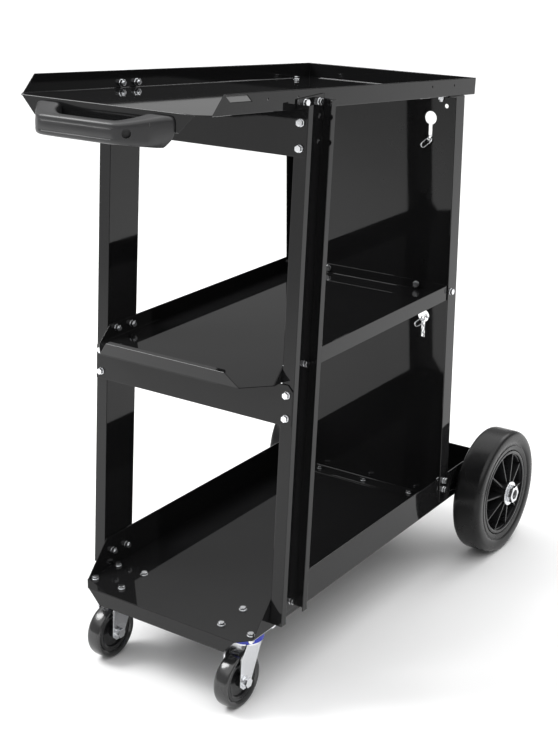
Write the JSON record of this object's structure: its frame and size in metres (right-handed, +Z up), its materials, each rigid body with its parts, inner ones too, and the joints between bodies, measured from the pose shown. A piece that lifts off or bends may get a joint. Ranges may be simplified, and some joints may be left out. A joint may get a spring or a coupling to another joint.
{
  "type": "tool cart",
  "caption": "Three-tier rolling tool cart with a pitched top tray, front handle, swivel front casters, large rear wheels and a rear tank platform with chains.",
  "frame": {"origin": "middle of the footprint on the ground, under the centre of the bounding box", "axes": "+Z up, +X towards the rear wheels and tank platform, -X towards the handle, +Y to the side away from the slot in the top tray flange"},
  "size_m": [0.849, 0.4284, 0.8119],
  "materials": {
    "black_powder_coat": "gloss black powder coat",
    "handle_plastic": "dark grey moulded plastic, satin",
    "dark_screw": "dark screws",
    "axle_steel": "plain bright steel",
    "tyre_rubber": "solid rubber, satin",
    "rim_plastic": "black moulded rim",
    "bush_plastic": "hub bush",
    "blue_ring": "blue swivel ring",
    "caster_tread": "black tread",
    "caster_core": "black wheel core",
    "fork_zinc": "bright zinc plate",
    "chain_zinc": "bright zinc plate",
    "fastener_zinc": "bright zinc plate"
  },
  "bodies": {
    "cart": {"bottom_tray": "black_powder_coat", "middle_shelf": "black_powder_coat", "top_tray": "black_powder_coat", "front_left_post": "black_powder_coat", "front_right_post": "black_powder_coat", "middle_crossbar": "black_powder_coat", "top_crossbar": "black_powder_coat", "rear_panel": "black_powder_coat", "handle": "handle_plastic", "handle_screws": "dark_screw", "axle": "black_powder_coat", "axle_brackets": "black_powder_coat", "axle_bracket_screws": "fastener_zinc", "axle_spacers": "axle_steel", "axle_washers": "fastener_zinc", "axle_nuts": "fastener_zinc", "left_caster_plate": "fork_zinc", "right_caster_plate": "fork_zinc", "caster_bolts": "fastener_zinc", "caster_nuts": "fastener_zinc", "bottom_bolts": "fastener_zinc", "bottom_nuts": "fastener_zinc", "middle_bolts": "fastener_zinc", "middle_nuts": "fastener_zinc", "top_bolts": "fastener_zinc", "top_nuts": "fastener_zinc", "tray_rear_bolts": "fastener_zinc", "tray_rear_nuts": "fastener_zinc", "crossbar_bolts": "fastener_zinc", "crossbar_nuts": "fastener_zinc", "panel_bolts": "fastener_zinc", "panel_nuts": "fastener_zinc", "upper_chain": "chain_zinc", "lower_chain": "chain_zinc"},
    "left_caster_swivel": {"left_swivel_ring": "blue_ring", "left_fork": "fork_zinc", "left_caster_axle": "fastener_zinc", "left_caster_nut": "fastener_zinc"},
    "left_caster_wheel": {"left_caster_tread": "caster_tread", "left_caster_core": "caster_core"},
    "right_caster_swivel": {"right_swivel_ring": "blue_ring", "right_fork": "fork_zinc", "right_caster_axle": "fastener_zinc", "right_caster_nut": "fastener_zinc"},
    "right_caster_wheel": {"right_caster_tread": "caster_tread", "right_caster_core": "caster_core"},
    "left_rear_wheel": {"left_tyre": "tyre_rubber", "left_rim": "rim_plastic", "left_bush": "bush_plastic"},
    "right_rear_wheel": {"right_tyre": "tyre_rubber", "right_rim": "rim_plastic", "right_bush": "bush_plastic"}
  },
  "joints": [
    {"name": "left_caster_swivel", "type": "hinge", "parent": "cart", "child": "left_caster_swivel", "pos_m": [-0.2594, 0.11, 0.0895], "axis": [0, 0, 1], "continuous": true},
    {"name": "left_caster_roll", "type": "hinge", "parent": "left_caster_swivel", "child": "left_caster_wheel", "pos_m": [-0.2831, 0.11, 0.0385], "axis": [0, 1, 0], "continuous": true},
    {"name": "right_caster_swivel", "type": "hinge", "parent": "cart", "child": "right_caster_swivel", "pos_m": [-0.2594, -0.11, 0.0895], "axis": [0, 0, 1], "continuous": true},
    {"name": "right_caster_roll", "type": "hinge", "parent": "right_caster_swivel", "child": "right_caster_wheel", "pos_m": [-0.2831, -0.11, 0.0385], "axis": [0, 1, 0], "continuous": true},
    {"name": "left_rear_roll", "type": "hinge", "parent": "cart", "child": "left_rear_wheel", "pos_m": [0.3244, 0.1765, 0.1], "axis": [0, 1, 0], "continuous": true},
    {"name": "right_rear_roll", "type": "hinge", "parent": "cart", "child": "right_rear_wheel", "pos_m": [0.3244, -0.1765, 0.1], "axis": [0, 1, 0], "continuous": true}
  ]
}
